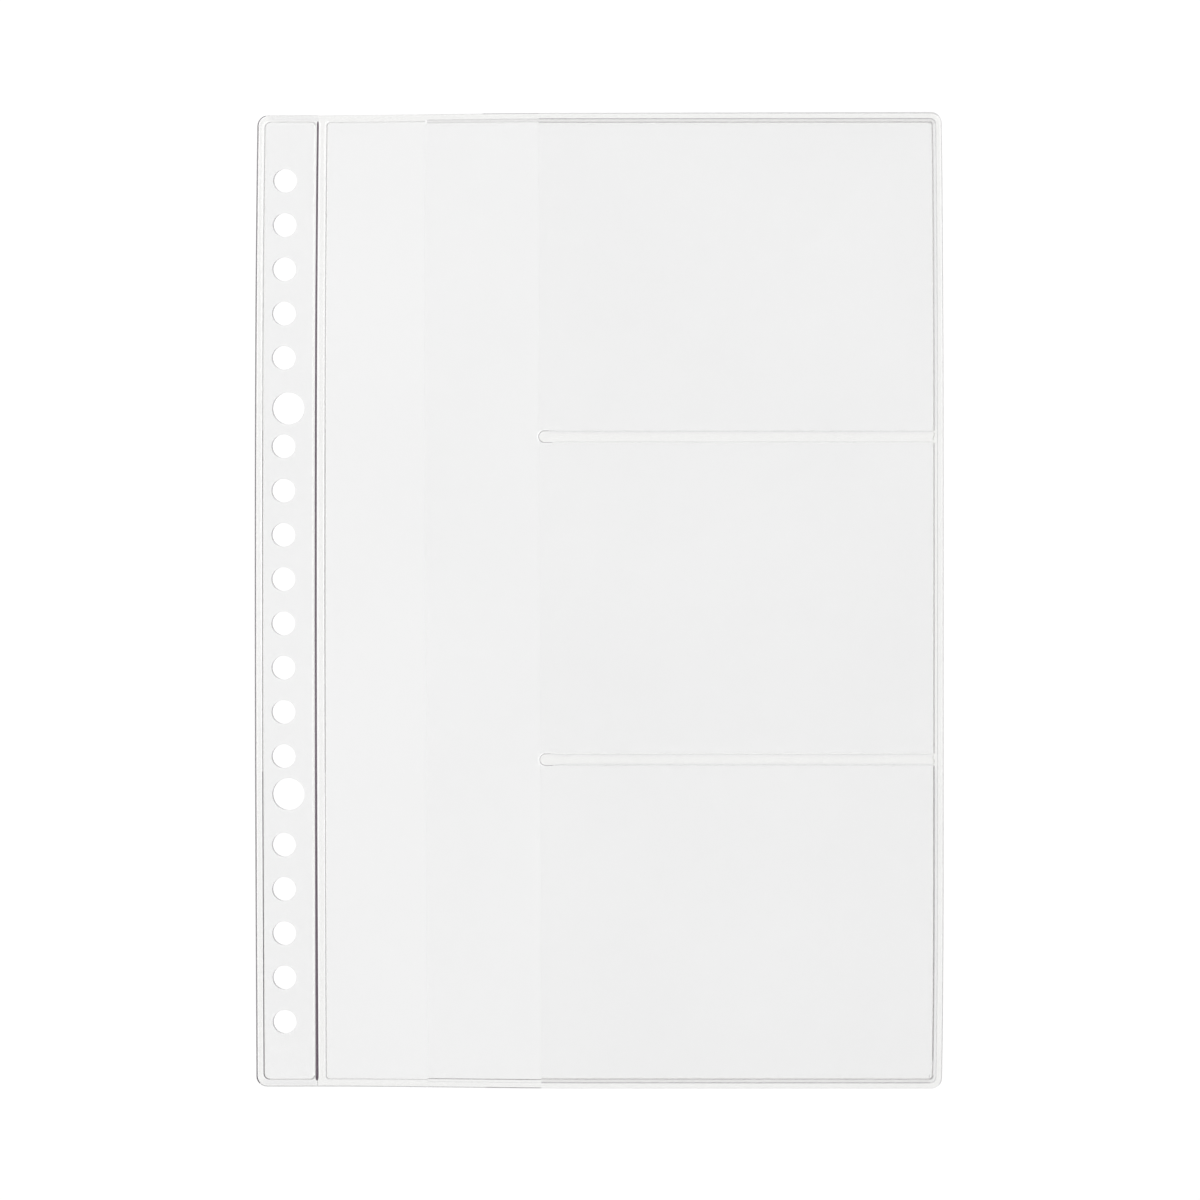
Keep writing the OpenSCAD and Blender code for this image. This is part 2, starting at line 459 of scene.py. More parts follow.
def filmSheet(
    loop, zLow, zHigh, step, holes=(), columns=(), liftAt=nothingAt, slideAt=nothingAt, goesOnAt=nothingAt,
    slotAt=nothingAt, punch=((0, 0), (0, 0)),
):
    # a thin closed film of that outline; holes are (x, y, radius), columns are lines of points up the film,
    # goesOnAt is true where the next piece carries the film on, so that no cut edge shows there,
    # and punch is how far the holes lie aside on the upper and lower face
    points = []
    edges = []

    def addLoop(line, shut=True):
        start = len(points)
        points.extend(Vector(p) for p in line)
        edges.extend((start + i, start + i + 1) for i in range(len(line) - 1))
        if shut:
            edges.append((start + len(line) - 1, start))

    addLoop(loop)
    for x, y, radius in holes:
        ring = [math.tau * k / meshing["holePoints"] for k in range(meshing["holePoints"])]
        addLoop([(x + radius * math.cos(t), y + radius * math.sin(t)) for t in ring])
    lowX = min(p.x for p in points)
    highX = max(p.x for p in points)
    lowY = min(p.y for p in points)
    highY = max(p.y for p in points)
    rows = max(2, round((highY - lowY) / step))
    for x in columns:
        addLoop([(x, lowY + (highY - lowY) * k / rows) for k in range(rows + 1)], shut=False)
    across = max(2, round((highX - lowX) / step))
    for i in range(1, across):
        for k in range(1, rows):
            x = lowX + (highX - lowX) * i / across
            y = lowY + (highY - lowY) * k / rows
            room = [math.hypot(x - hx, y - hy) - radius for hx, hy, radius in holes]
            room += [abs(x - column) for column in columns]
            if min(room, default=step) > meshing["gridRoom"] * step:
                points.append(Vector((x, y)))
    flat, _, triangles, *_ = delaunay_2d_cdt(points, edges, [], 0, meshing["samePoint"])

    def inHole(triangle):
        middle = sum((flat[i] for i in triangle), Vector((0, 0))) / 3
        inside = meshing["insideCircle"]
        return any(math.hypot(middle.x - x, middle.y - y) < radius * inside for x, y, radius in holes)

    def isSliver(triangle):
        a, b, c = (flat[i] for i in triangle)
        return abs((b - a).cross(c - a)) / 2 < meshing["sliverArea"]

    triangles = [t for t in triangles if not inHole(t) and not isSliver(t)]

    def face(z, aside):
        line = []
        for p in flat:
            x = p.x + slideAt(p.x, p.y)
            y = p.y
            fromCircles = [abs(math.hypot(p.x - hx, p.y - hy) - radius) for hx, hy, radius in holes]
            if min(fromCircles, default=step) < meshing["onCircle"]:
                x += aside[0]
                y += aside[1]
            line.append(placed(x, y, z + liftAt(p.x, p.y)))
        return line

    upper = face(zHigh, punch[0])
    lower = face(zLow, punch[1])
    count = len(flat)
    faces = []
    slots = []
    seen = {}
    for a, b, c in triangles:
        middle = (flat[a] + flat[b] + flat[c]) / 3
        slot = slotAt(middle.x, middle.y)
        faces += [(a, b, c), (count + c, count + b, count + a)]
        slots += [slot, slot]
        for edge in ((a, b), (b, c), (c, a)):
            seen[edge] = True
    for a, b in seen:
        if (b, a) in seen:  # an edge seen one way only is on the border
            continue
        middle = (flat[a] + flat[b]) / 2
        faces.append((a, count + a, count + b, b))
        slots.append(filmSlot if goesOnAt(middle.x, middle.y) else cutSlot)
    return upper + lower, faces, slots


# Back film: the whole page, punched, with columns of points along the crease
backFilm = {
    "cornerRadius": 2.3, "gridStep": 5.0, "punch": ((0.10, 0.02), (0.20, 0.04)),
    "bendHalf": 0.3, "bendColumns": (-1.2, -0.6, -0.2, 0.2, 0.6, 1.2),
}
holes = [
    (mount["pos_m"][0] / mm, mount["pos_m"][1] / mm, mount["dims"]["r_mm"])
    for mount in frame["record"]["mounts"] if mount["kind"] == "bore"
]


def makeBackFilm():
    low, high = nodeBox("back_sheet")
    loop = rectangleLoop(
        -halfWidth, -halfHeight, halfWidth, halfHeight, [backFilm["cornerRadius"]] * 4, backFilm["gridStep"],
    )
    bend = backFilm["bendHalf"]
    columns = [creaseX + bend * share for share in backFilm["bendColumns"]]
    mesh = filmSheet(
        loop, low.z, high.z, backFilm["gridStep"], holes=holes, columns=columns, punch=backFilm["punch"],
    )
    piece = newPiece("backFilm", *mesh, filmFinishes, turnOut=False)
    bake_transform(piece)
    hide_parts("punched_margin", "back_sheet")


makeBackFilm()
print("back film made with", len(holes), "holes")

# Reinforcing strip on the margin
marginStrip = {
    "gridStep": 5.0, "insetLeft": 0.3, "cornerRadius": 0.6, "gap": 0.015, "punch": ((0, 0), (0.10, 0.02)),
}


def makeMarginStrip():
    low, high = nodeBox("reinforcing_strip")
    radius = marginStrip["cornerRadius"]
    loop = rectangleLoop(
        low.x + marginStrip["insetLeft"], low.y, high.x, high.y, [radius] * 4, marginStrip["gridStep"],
    )
    mesh = filmSheet(
        loop, low.z + marginStrip["gap"], high.z, marginStrip["gridStep"], holes=holes,
        punch=marginStrip["punch"],
    )
    piece = newPiece("marginStrip", *mesh, pocketFinishes, turnOut=False)
    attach(piece, "binding_edge")
    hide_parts("reinforcing_strip")


makeMarginStrip()


# How far each mouth lies aside of its straight line, in the middle and per half height of the page
mouthLay = {"long": (-0.35, -0.32), "card": (0.10, -0.32), "reach": 12.0}


def mouthShift(which, y):
    middle, lean = mouthLay[which]
    return middle + lean * y / halfHeight


def mouthEnds(which, x):
    return [x + mouthShift(which, y) for y in (halfHeight, -halfHeight)]


# A weld round three sides of a field. A rail gives its insets at the side, top and bottom, its height,
# its corner radius, and its slots along the top, down the side in three parts, and along the bottom.
# The side's slots begin at sideFrom below the top and above the bottom
weldSteps = {"run": 24, "side": 60, "hook": 21, "leastRadius": 0.05}


def sideWeld(rails, openEnds, sideX, look, hook=None):
    toward = 1 if openEnds[0] > sideX else -1
    deepest = rails[-1][1]
    lines = []
    legs = []
    for insetSide, insetTop, insetBottom, z, radius, _ in rails:
        x = sideX + toward * insetSide
        top = halfHeight - insetTop
        bottom = insetBottom - halfHeight
        sag = look.get("cornerSag", 0) if insetTop > 0 else 0
        corners = [(openEnds[0], top), (x, top - sag), (x, bottom), (openEnds[1], bottom)]
        radii = [radius, radius]
        steps = [weldSteps["run"], weldSteps["side"], weldSteps["run"]]
        if hook:  # both open ends turn inward and go on beside the crease, to its middle
            aside = hook["aside"] * insetTop / deepest + max(0, insetTop - hook["fromInset"])
            hookX = openEnds[0] - toward * aside
            hookRadius = weldSteps["leastRadius"]
            if aside > hook["aside"]:
                hookRadius = max(hookRadius, hook["radius"] - (deepest - insetTop))
            corners = [
                (hookX, hook["gap"]), (hookX, top), *corners[1:3], (hookX, bottom), (hookX, -hook["gap"]),
            ]
            radii = [hookRadius, *radii, hookRadius]
            steps = [weldSteps["hook"], *steps, weldSteps["hook"]]
        path, legs = roundedPath(corners, radii, steps)
        lines.append([(p.x, p.y, z) for p in path])
    sideLeg = max(legs) / 2
    sideTop, sideBottom = look["sideFrom"]

    def slotAt(rail, station):
        slots = rails[rail][5]
        y = (lines[rail][station][1] + lines[rail][station + 1][1]) / 2
        if hook and abs(legs[station] - sideLeg) > 1.5:  # beside the crease
            return hook["slots"][rail]
        fromEnd = halfHeight - abs(y)
        if abs(legs[station] - sideLeg) > 0.5 or fromEnd < (sideTop if y > 0 else sideBottom):
            return slots[0 if y > 0 else 4]
        third = int((halfHeight - y) / (2 * halfHeight) * 3)  # of the side, from the top
        return slots[1 + min(max(third, 0), 2)]

    return sweptStrip(lines, look["base"], slotAt)


# Weld round the margin
marginWeld = {
    "base": 0.225, "sideFrom": (0.15, 0.7), "fromCrease": 0.04,
    # in the hook and the rails, the white slots are painted highlights along the weld's slopes
    "hook": {
        "aside": 0.12, "fromInset": 1.16, "radius": 1.1, "gap": 0.02,
        "slots": (band, band, band, highlight, band, band),
    },
    "rails": (
        (0.00, 0.00, 0.00, 0.36, 2.30, (soft, deep, deep, deep, mid)),
        (0.34, 0.16, 0.22, 0.44, 2.02, (band, highlight, highlight, highlight, band)),
        (0.54, 0.36, 0.42, 0.44, 1.85, (hint, band, band, band, hint)),
        (1.36, 1.22, 1.34, 0.42, 1.50, (band, band, highlight, highlight, band)),
        (1.56, 1.41, 1.53, 0.46, 1.35, (soft, mid, dark, deep, mid)),
        (1.81, 1.60, 1.73, 0.46, 1.15, plain),
        (2.00, 1.76, 1.90, 0.42, 1.00, plain),
    ),
}


def makeMarginWeld():
    openX = creaseX - marginWeld["fromCrease"]
    mesh = sideWeld(marginWeld["rails"], (openX, openX), -halfWidth, marginWeld, marginWeld["hook"])
    piece = newPiece("marginWeld", *mesh, weldFinishes, turnOut=True)
    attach(piece, "binding_edge")
    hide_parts("spine_edge_seam", "spine_top_seam", "spine_bottom_seam")


makeMarginWeld()

# Bead in the crease, thicker toward the bottom; the bead is real, and its near-black colour is painted shade for
# the dark line that refraction draws in the clear crease
creaseBead = {
    "radiusTop": 0.23, "radiusBottom": 0.38, "widening": 2.5, "rise": 0.2, "pastEnds": 0.8,
    "taper": 0.9, "leastRounding": 0.02, "sides": 16, "stations": 60,
}


def makeCreaseBead():
    low, high = nodeBox("crease_bead")
    z = (low.z + high.z) / 2
    bottom = low.y - creaseBead["pastEnds"]
    top = high.y + creaseBead["pastEnds"]
    points = []
    faces = []
    sides = creaseBead["sides"]
    wider = creaseBead["radiusBottom"] - creaseBead["radiusTop"]
    for k in range(creaseBead["stations"] + 1):
        t = k / creaseBead["stations"]
        y = bottom + (top - bottom) * eased(t)
        fromEnd = min(y - bottom, top - y) / creaseBead["taper"]
        radius = creaseBead["radiusTop"] + wider * (1 - t) ** creaseBead["widening"]
        rounding = math.sqrt(max(creaseBead["leastRounding"], 1 - (1 - min(fromEnd, 1)) ** 2))
        for s in range(sides):
            turn = math.tau * s / sides
            aside = radius * rounding * math.cos(turn)
            points.append(placed(creaseX + aside, y, z + creaseBead["rise"] * rounding * math.sin(turn)))
    for k in range(creaseBead["stations"]):
        for s in range(sides):
            a = k * sides + s
            b = k * sides + (s + 1) % sides
            faces.append((a, b, b + sides, a + sides))
    last = creaseBead["stations"] * sides
    faces.append(list(range(sides)))
    faces.append([last + s for s in range(sides)])
    piece = newPiece("creaseBead", points, faces, [0] * len(faces), ["paintedCreaseShade"], turnOut=True)
    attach(piece, "binding_edge")
    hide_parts("crease_bead")


makeCreaseBead()

# Weld along the crease, and round the single film as far as the long pocket's mouth
bindingWeld = {
    "base": 0.225, "sideFrom": (1.8, 1.4), "fromCrease": 0.04,
    # the white slots are painted highlights, as beside the crease
    "rails": (
        (0.00, 0.00, 0.00, 0.345, 0.05, (faint, band, band, band, mid)),
        (0.16, 0.10, 0.20, 0.36, 0.05, (band, highlight, highlight, highlight, band)),
        (0.58, 0.24, 0.34, 0.36, 0.05, plain),
        (1.63, 1.36, 1.38, 0.32, 0.95, (band, band, highlight, highlight, band)),
        (1.82, 1.52, 1.57, 0.36, 0.80, (soft, mid, dark, mid, soft)),
        (2.06, 1.68, 1.81, 0.36, 0.60, plain),
        (2.22, 1.86, 1.99, 0.30, 0.45, plain),
    ),
}


def makeBindingWeld():
    openEnds = mouthEnds("long", nodeBox("long_pocket_lip")[0].x)
    sideX = creaseX + bindingWeld["fromCrease"]
    mesh = sideWeld(bindingWeld["rails"], openEnds, sideX, bindingWeld)
    piece = newPiece("bindingWeld", *mesh, weldFinishes, turnOut=True)
    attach(piece, "leaf")
    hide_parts("binding_seam")


makeBindingWeld()

# Welds of the long pocket's film along the top and bottom, between the two mouths. A rail gives its inset,
# height, and slots at the long mouth, in the first half and in the second half
mouthWeld = {
    "base": 0.225, "clear": 0.02, "steps": 8, "mouthEnd": 0.32,
    # at the long mouth the lines begin with a short painted highlight
    "top": (
        (0.00, 0.42, (faint, faint, mid)),
        (0.20, 0.52, plain),
        (1.22, 0.50, (highlight, soft, soft)),
        (1.40, 0.53, (highlight, shade, shade)),
        (1.84, 0.50, (highlight, soft, soft)),
        (2.04, 0.53, plain),
        (2.20, 0.48, plain),
    ),
    "bottom": (
        (0.00, 0.42, (mid, mid, dark)),
        (0.22, 0.52, plain),
        (1.18, 0.50, (faint, faint, faint)),
        (1.36, 0.53, plain),
        (1.81, 0.50, (mid, dark, dark)),
        (2.01, 0.53, plain),
        (2.17, 0.48, plain),
    ),
}


def makeMouthWeld(name, node, where, side):
    end = 0 if side > 0 else 1
    x0 = mouthEnds("long", nodeBox("long_pocket_lip")[0].x)[end] + mouthWeld["clear"]
    x1 = mouthEnds("card", nodeBox("upper_card_film")[0].x)[end] - mouthWeld["clear"]
    steps = mouthWeld["steps"]
    first = x0 + mouthWeld["mouthEnd"]
    stations = [x0] + [first + (x1 - first) * k / steps for k in range(steps + 1)]
    rails = mouthWeld[where]
    lines = [[(x, side * (halfHeight - inset), z) for x in stations] for inset, z, _ in rails]

    def slotAt(rail, station):
        slots = rails[rail][2]
        if station == 0:
            return slots[0]
        return slots[1] if station <= steps / 2 else slots[2]

    mesh = sweptStrip(lines, mouthWeld["base"], slotAt)
    piece = newPiece(name, *mesh, weldFinishes, turnOut=True)
    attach(piece, "leaf")
    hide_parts(node)


makeMouthWeld("topWeld", "top_seam", "top", 1)
makeMouthWeld("bottomWeld", "bottom_seam", "bottom", -1)

# Weld round the card pockets: top, fore edge and bottom
foreWeld = {
    "base": 0.225, "sideFrom": (2.4, 0.7), "cornerSag": 0.16,
    "rails": (
        (0.00, 0.00, 0.00, 0.62, 2.30, (soft, mid, mid, mid, faint)),
        (0.20, 0.22, 0.18, 0.74, 2.10, plain),
        (0.62, 0.62, 0.60, 0.74, 1.75, plain),
        (1.24, 1.17, 1.16, 0.72, 1.30, (mid, soft, soft, soft, mid)),
        (1.41, 1.44, 1.44, 0.74, 1.10, (shade, hint, band, hint, shade)),
        (1.95, 1.95, 2.00, 0.70, 0.80, plain),
        (2.42, 2.42, 2.44, 0.66, 0.50, plain),
    ),
}


def makeForeWeld():
    openEnds = mouthEnds("card", nodeBox("upper_card_film")[0].x)
    mesh = sideWeld(foreWeld["rails"], openEnds, halfWidth, foreWeld)
    piece = newPiece("foreWeld", *mesh, weldFinishes, turnOut=True)
    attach(piece, "leaf")
    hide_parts("fore_edge_seam")


makeForeWeld()

# Beads that the weld squeezes out at the closed ends of the card pockets. A rail gives its offset, height,
# and slots along the runs and along the sides of the upper, middle and lower pocket. Where a divider meets
# the fore edge the bead breaks up into a small crooked one, and in the lower corner it thins out and ends
# in a small curl
endBeads = {
    "base": 0.58, "insetSide": 2.12, "insetTop": 2.08, "insetBottom": 2.12,
    "rails": (
        (-0.20, 0.70, (shade, dark, dark, dark)),
        (-0.12, 0.76, (mid, mid, mid, dark)),
        (0.12, 0.76, (band, hint, hint, hint)),
        (0.28, 0.70, plain),
    ),
    "cornerRadius": 0.7, "gapAtDivider": 0.15, "fadeLow": 4.0, "runSteps": 24, "sideSteps": 14,
    "crooked": (
        (-0.12, 0.95), (0.06, 0.78), (0.14, 0.52), (0.04, 0.28),
        (0.08, 0.05), (-0.16, -0.22), (-0.20, -0.50), (-0.04, -0.74),
    ),
    "curl": (
        (-0.42, 0.95), (-0.66, 0.62), (-0.62, 0.22), (-0.28, 0.02), (0.06, 0.16), (0.14, 0.52), (0.40, 0.80),
    ),
    "smallHalf": 0.09, "smallRise": 0.10, "smallEnd": 0.5,
    "smallSection": ((-1.0, 0.3), (-0.5, 0.85), (0.0, 1.0), (0.5, 0.85), (1.0, 0.3)),
}


def smallBead(path, slot):
    # a short rounded bead along a crooked line, narrower at both ends
    last = len(path) - 1
    rails = []
    for aside, up in endBeads["smallSection"]:
        z = endBeads["base"] + endBeads["smallRise"] * up
        line = []
        for i, p in enumerate(path):
            along = (path[min(i + 1, last)] - path[max(i - 1, 0)]).normalized()
            wide = endBeads["smallHalf"] * aside * (endBeads["smallEnd"] if i in (0, last) else 1.0)
            line.append((p.x - along.y * wide, p.y + along.x * wide, z))
        rails.append(line)
    return sweptStrip(rails, endBeads["base"], lambda rail, station: slot)


def makeEndBeads():
    openTop, openBottom = mouthEnds("card", nodeBox("upper_card_film")[0].x)
    x = halfWidth - endBeads["insetSide"]
    top = halfHeight - endBeads["insetTop"]
    bottom = endBeads["insetBottom"] - halfHeight
    gap = endBeads["gapAtDivider"]
    dividerLow, dividerHigh = nodeBox("upper_divider_seam")
    bends = (
        ((openTop, top), (x, top), (x, dividerHigh.y + gap)),
        ((x, dividerLow.y - gap), (x, -dividerLow.y + gap)),
        ((x, -dividerHigh.y - gap), (x, bottom), (openBottom, bottom)),
    )
    meshes = []
    for pocket, corners in enumerate(bends):
        lines = []
        legs = []
        runs = [a[1] == b[1] for a, b in zip(corners, corners[1:])]
        steps = [endBeads["runSteps"] if run else endBeads["sideSteps"] for run in runs]
        for offset, z, _ in endBeads["rails"]:
            inner = []
            for cx, cy in corners:
                newX = cx - offset if cx == x else cx
                newY = cy - offset * math.copysign(1, cy) if cy in (top, bottom) else cy
                if cx == x and cy == top:
                    newY -= foreWeld["cornerSag"]
                inner.append((newX, newY))
            path, legs = roundedPath(inner, [endBeads["cornerRadius"]], steps)
            lines.append([(p.x, p.y, z) for p in path])

        def slotAt(rail, station):
            leg = legs[station]
            onRun = leg == int(leg) and runs[int(leg)]
            slot = endBeads["rails"][rail][2][0 if onRun else 1 + pocket]
            isLow = lines[rail][station][1] < bottom + endBeads["fadeLow"]
            return mid if slot == dark and isLow else slot

        meshes.append(sweptStrip(lines, endBeads["base"], slotAt))
    for sign in (1, -1):
        middleY = sign * (dividerLow.y + dividerHigh.y) / 2
        path = [Vector((x + dx, middleY + sign * dy)) for dx, dy in endBeads["crooked"]]
        meshes.append(smallBead(path, dark))
    path = [Vector((x + dx, bottom + dy)) for dx, dy in endBeads["curl"]]
    meshes.append(smallBead(path, mid))
    piece = newPiece("endBeads", *joined(*meshes), weldFinishes, turnOut=True)
    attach(piece, "leaf")
    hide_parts("closed_end_beads")


makeEndBeads()

# Dividers between the card pockets, with a round end at the mouths. A rail gives its inset, height, and slot
# at the round end; along the run the line is softer and wider, with slots for the upper and the lower line
divider = {
    "base": 0.225, "arcSteps": 10, "runSteps": 30, "sideWidth": 0.30, "endIn": 0.2,
    "endHalfWidth": 1.26, "runHalfWidth": 1.10, "narrowFrom": 1.4, "narrowing": 1.2, "runPower": 2.2,
    "darkEnd": 3.0, "tipShare": 0.5,
    # the outer rail at the round end is a painted highlight
    "rails": ((0.00, 0.70, highlight), (0.20, 0.80, mid), (0.40, 0.82, band), (0.75, 0.76, band)),
    "runLines": {
        "upperDivider": ((hint, faint, hint), (band, faint, band)),
        "lowerDivider": ((band, faint, hint), (hint, faint, hint)),
    },
    "tipLine": {"upperDivider": dark, "lowerDivider": mid},
}


def makeDivider(name, node):
    low, high = nodeBox(node)
    middleY = (low.y + high.y) / 2
    runs = divider["runSteps"]
    arcs = divider["arcSteps"]
    centreX = low.x + divider["endHalfWidth"] + divider["endIn"] + mouthShift("card", middleY)
    endHalf = divider["endHalfWidth"] + divider["sideWidth"]
    slim = divider["endHalfWidth"] - divider["runHalfWidth"]
    run = []
    for k in range(runs):
        x = high.x + (centreX - high.x) * (1 - (1 - k / runs) ** divider["runPower"])
        run.append((x, endHalf - slim * smooth((x - centreX - divider["narrowFrom"]) / divider["narrowing"])))
    lines = []
    for inset, z, _ in divider["rails"]:
        line = [(x, middleY + half - inset, z) for x, half in run]
        for k in range(2 * arcs + 1):
            turn = math.pi / 2 + math.pi * k / (2 * arcs)
            line.append((
                centreX + (endHalf - inset) * math.cos(turn), middleY + (endHalf - inset) * math.sin(turn), z,
            ))
        line += [(x, middleY - half + inset, z) for x, half in reversed(run)]
        lines.append(line)
    count = len(lines[0])
    points = [placed(*p) for line in lines for p in line]
    base = len(points)
    points += [placed(x, y, divider["base"]) for x, y, _ in lines[0]]
    faces = []
    slots = []
    upperLine, lowerLine = divider["runLines"][name]
    for s in range(count - 1):
        x, y, _ = lines[0][s]
        for r in range(len(lines) - 1):
            a = r * count + s
            faces.append((a, a + 1, a + 1 + count, a + count))
            slot = divider["rails"][r][2]
            if x > low.x + divider["darkEnd"]:
                slot = (upperLine if y > middleY else lowerLine)[r]
            elif slot == mid and x < centreX - endHalf * divider["tipShare"]:
                slot = divider["tipLine"][name]
            slots.append(slot)
        faces.append((base + s, base + s + 1, s + 1, s))
        slots.append(band)
    top = (len(lines) - 1) * count
    for s in range(count // 2):  # the top and the underside, filled across from line to line
        t = count - 2 - s
        across = (s, s + 1, t, t + 1) if s + 1 < t else (s, s + 1, t + 1)
        for start in (top, base):
            faces.append([start + i for i in across])
            slots.append(band)
    foreEnd = [base, *(r * count for r in range(len(lines)))]
    foreEnd += [*(r * count + count - 1 for r in reversed(range(len(lines)))), base + count - 1]
    faces.append(foreEnd)
    slots.append(band)
    piece = newPiece(name, points, faces, slots, weldFinishes, turnOut=True)
    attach(piece, "leaf")
    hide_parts(node)


makeDivider("upperDivider", "upper_divider_seam")
makeDivider("lowerDivider", "lower_divider_seam")
print("welds made")

# Pocket films. A film that lifts is made in two halves: each bends from its weld to the middle of the mouth
pocketFilm = {"gridStep": 5.0, "mouthLift": 0.25, "liftReach": 22.0, "rimWidth": 0.35, "cornerRadius": 0.5}


def makePanel(name, node):
    low, high = nodeBox(node)
    openX = hinges["long_pocket_opening"].x
    radius = pocketFilm["cornerRadius"]
    loop = rectangleLoop(openX, low.y, high.x, high.y, [0, radius, radius, 0], pocketFilm["gridStep"])
    mesh = filmSheet(
        loop, low.z, high.z, pocketFilm["gridStep"], goesOnAt=lambda x, y: x < openX + meshing["samePlace"],
    )
    piece = newPiece(name, *mesh, pocketFinishes, turnOut=False)
    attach(piece, "leaf")
    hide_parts(node)


for part in ("upper", "middle", "lower"):
    makePanel(part + "LongPanel", f"long_pocket_{part}_panel")


def makeLiftingHalf(name, node, side, which):
    # side is 1 for the half above the middle of the film, and -1 for the one below
    low, high = nodeBox(node)
    middleY = (low.y + high.y) / 2
    weldY = high.y if side > 0 else low.y
    halfSpan = (high.y - low.y) / 2
    hasPanel = which == "long"  # the long pocket's lip goes on into a panel
    endX = hinges["long_pocket_opening"].x if hasPanel else high.x
    rim = pocketFilm["rimWidth"]
    radius = 0 if hasPanel else pocketFilm["cornerRadius"]
    radii = [0, 0, radius, 0] if side > 0 else [0, radius, 0, 0]
    loop = rectangleLoop(low.x, min(middleY, weldY), endX, max(middleY, weldY), radii, pocketFilm["gridStep"])

    def liftAt(x, y):
        alongMouth = math.cos(math.pi / 2 * (y - middleY) / halfSpan) ** 2
        return pocketFilm["mouthLift"] * alongMouth * (1 - smooth((x - low.x) / pocketFilm["liftReach"]))

    def slideAt(x, y):
        return mouthShift(which, y) * (1 - smooth((x - low.x) / mouthLay["reach"]))

    def goesOnAt(x, y):
        near = meshing["samePlace"]
        return abs(y - middleY) < near or (hasPanel and x > endX - near)

    def slotAt(x, y):
        return rimSlot if x < low.x + rim else filmSlot

    mesh = filmSheet(
        loop, low.z, high.z, pocketFilm["gridStep"], columns=[low.x + rim], liftAt=liftAt, slideAt=slideAt,
        goesOnAt=goesOnAt, slotAt=slotAt,
    )
    piece = newPiece(name, *mesh, pocketFinishes, turnOut=False)
    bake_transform(piece)
    return piece


for side, word in ((1, "Upper"), (-1, "Lower")):
    lip = makeLiftingHalf("longLip" + word, "long_pocket_lip", side, "long")
    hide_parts("long_pocket_lip")
    for part in ("upper", "middle", "lower"):
        half = makeLiftingHalf(
            part + "Card" + word, part + "_card_film", side, "card",
        )
        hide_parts(part + "_card_film")
print("pocket films made")


# Studio: a white floor that keeps the page's shadow, soft light, and the camera straight above.
# Its sizes and places are in metres, apart from floorDrop
studio = {
    "floorSize": 3.0, "floorDrop": 0.03, "floorColour": 0.80, "floorGlow": 0.225,
    "fadeFrom": 0.35, "fadeTo": 0.9,  # the floor turns plain white between these distances
    "skyLight": 0.67, "lampSize": 1.0, "lamps": (((-0.75, 0.2, 0.95), 5.4), ((0.8, 0.3, 1.05), 3.8)),
    "clearLayers": 32,
}


def whiteToEyes(tree):
    # 1 for rays from the camera, mirrors and glass
    path = tree.nodes.new("ShaderNodeLightPath")
    total = path.outputs["Is Camera Ray"]
    for name in ("Is Glossy Ray", "Is Transmission Ray"):
        total = mathNode(tree, "ADD", total, path.outputs[name])
        total.node.use_clamp = True
    return total


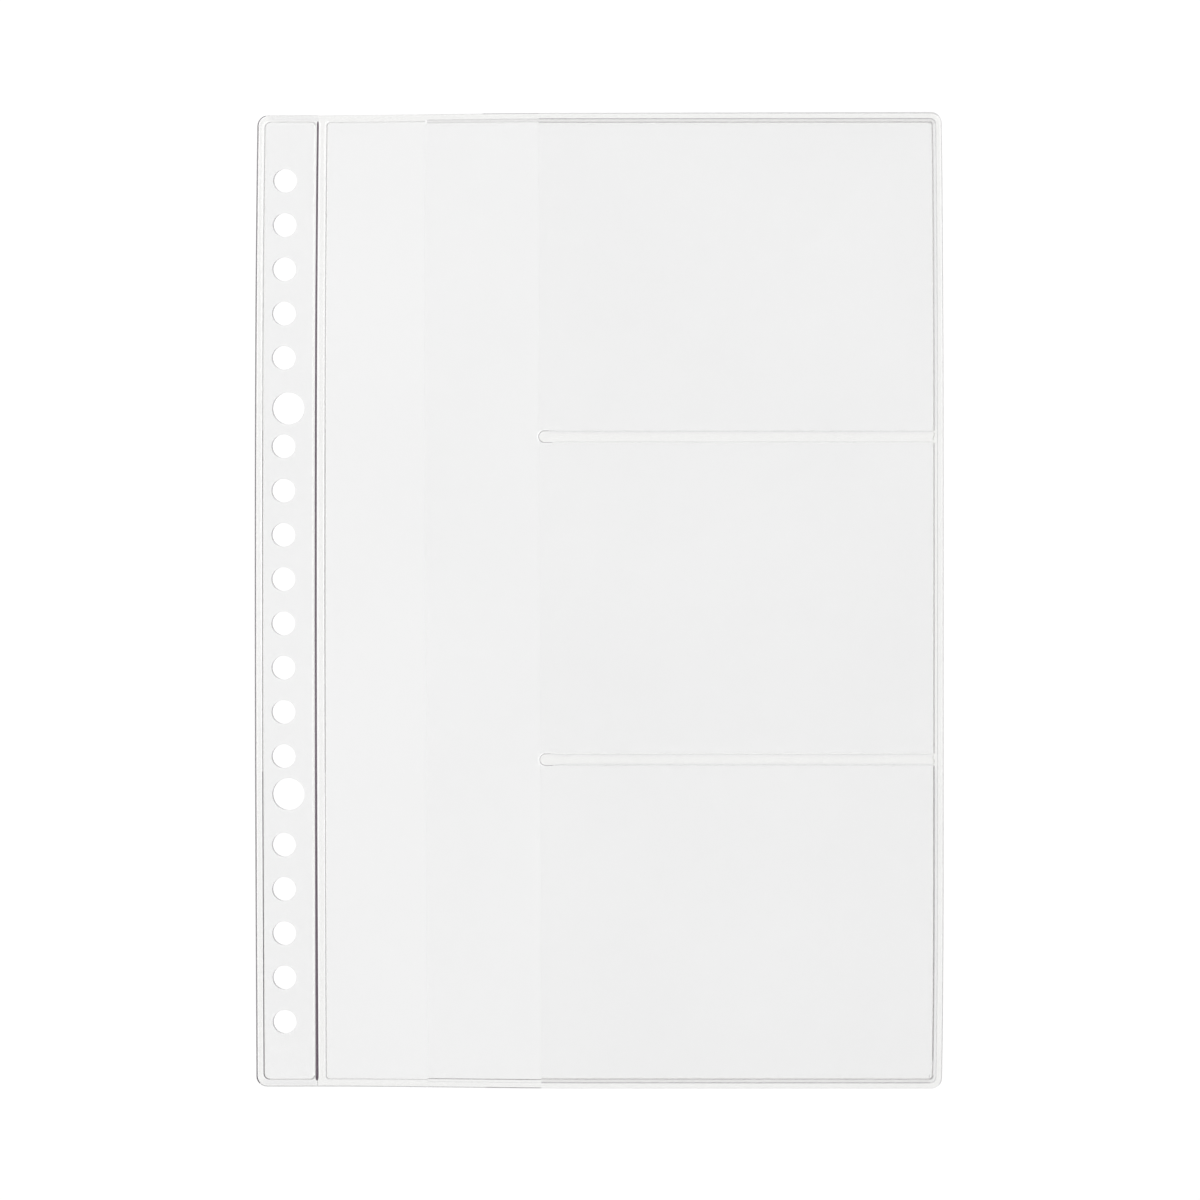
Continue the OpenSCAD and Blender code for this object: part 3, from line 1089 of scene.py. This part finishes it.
def makeFloor():
    size = studio["floorSize"] / 2
    z = -studio["floorDrop"] * mm
    corners = [(-size, -size, z), (size, -size, z), (size, size, z), (-size, size, z)]
    mesh = bpy.data.meshes.new("studioFloor")
    mesh.from_pydata(corners, [], [(0, 1, 2, 3)])
    material = bpy.data.materials.new("studioFloor")
    material.use_nodes = True
    tree = material.node_tree
    nodes = tree.nodes
    links = tree.links
    nodes.clear()
    coords = nodes.new("ShaderNodeTexCoord")
    length = nodes.new("ShaderNodeVectorMath")
    length.operation = "LENGTH"
    links.new(coords.outputs["Object"], length.inputs[0])
    fade = nodes.new("ShaderNodeMapRange")
    fade.interpolation_type = "SMOOTHSTEP"
    fade.inputs["From Min"].default_value = studio["fadeFrom"]
    fade.inputs["From Max"].default_value = studio["fadeTo"]
    links.new(length.outputs["Value"], fade.inputs["Value"])
    seen = whiteToEyes(tree)
    paper = nodes.new("ShaderNodeBsdfDiffuse")
    paper.inputs["Color"].default_value = (*[studio["floorColour"]] * 3, 1)
    near = nodes.new("ShaderNodeEmission")
    links.new(mathNode(tree, "MULTIPLY", seen, studio["floorGlow"]), near.inputs["Strength"])
    both = nodes.new("ShaderNodeAddShader")
    links.new(paper.outputs[0], both.inputs[0])
    links.new(near.outputs[0], both.inputs[1])
    far = nodes.new("ShaderNodeEmission")
    links.new(seen, far.inputs["Strength"])
    out = nodes.new("ShaderNodeOutputMaterial")
    faded = mixShaders(tree, fade.outputs["Result"], both.outputs[0], far.outputs[0])
    links.new(faded, out.inputs["Surface"])
    mesh.materials.append(material)
    floor = bpy.data.objects.new("studioFloor", mesh)
    bpy.context.scene.collection.objects.link(floor)


def makeSky():
    world = bpy.data.worlds.new("studioSky")
    bpy.context.scene.world = world
    world.use_nodes = True
    tree = world.node_tree
    nodes = tree.nodes
    nodes.clear()
    light = nodes.new("ShaderNodeBackground")
    light.inputs["Color"].default_value = (1, 1, 1, 1)
    light.inputs["Strength"].default_value = studio["skyLight"]
    white = nodes.new("ShaderNodeBackground")
    white.inputs["Color"].default_value = (1, 1, 1, 1)
    out = nodes.new("ShaderNodeOutputWorld")
    sky = mixShaders(tree, whiteToEyes(tree), light.outputs[0], white.outputs[0])
    tree.links.new(sky, out.inputs["Surface"])


def makeLamps():
    for i, (place, power) in enumerate(studio["lamps"]):
        lamp = bpy.data.lights.new(f"softLamp{i}", "AREA")
        lamp.energy = power
        lamp.size = studio["lampSize"]
        holder = bpy.data.objects.new(f"softLamp{i}", lamp)
        holder.location = place
        holder.rotation_euler = (-Vector(place)).to_track_quat("-Z", "Y").to_euler()
        bpy.context.scene.collection.objects.link(holder)


# The photo is 1200 pixels square, with the page's middle at middlePixel
camera = {
    "pixels": 1200, "pixelsPerMm": 4.65, "middlePixel": (599.4, 600.7), "lens": 100.0, "sensor": 36.0,
    "clip": (0.01, 50.0),  # metres
}


def makeCamera():
    data = bpy.data.cameras.new("camera")
    data.lens = camera["lens"]
    data.sensor_width = camera["sensor"]
    width = camera["pixels"] / camera["pixelsPerMm"]
    holder = bpy.data.objects.new("camera", data)
    half = camera["pixels"] / 2
    holder.location = (
        (half - camera["middlePixel"][0]) / camera["pixelsPerMm"] * mm,
        (camera["middlePixel"][1] - half) / camera["pixelsPerMm"] * mm,
        width * camera["lens"] / camera["sensor"] * mm,
    )
    data.clip_start, data.clip_end = camera["clip"]
    bpy.context.scene.collection.objects.link(holder)
    bpy.context.scene.camera = holder


makeFloor()
makeSky()
makeLamps()
makeCamera()
bpy.context.scene.view_settings.view_transform = "Standard"
bpy.context.scene.cycles.transparent_max_bounces = studio["clearLayers"]  # films lie in a stack
print("studio made")
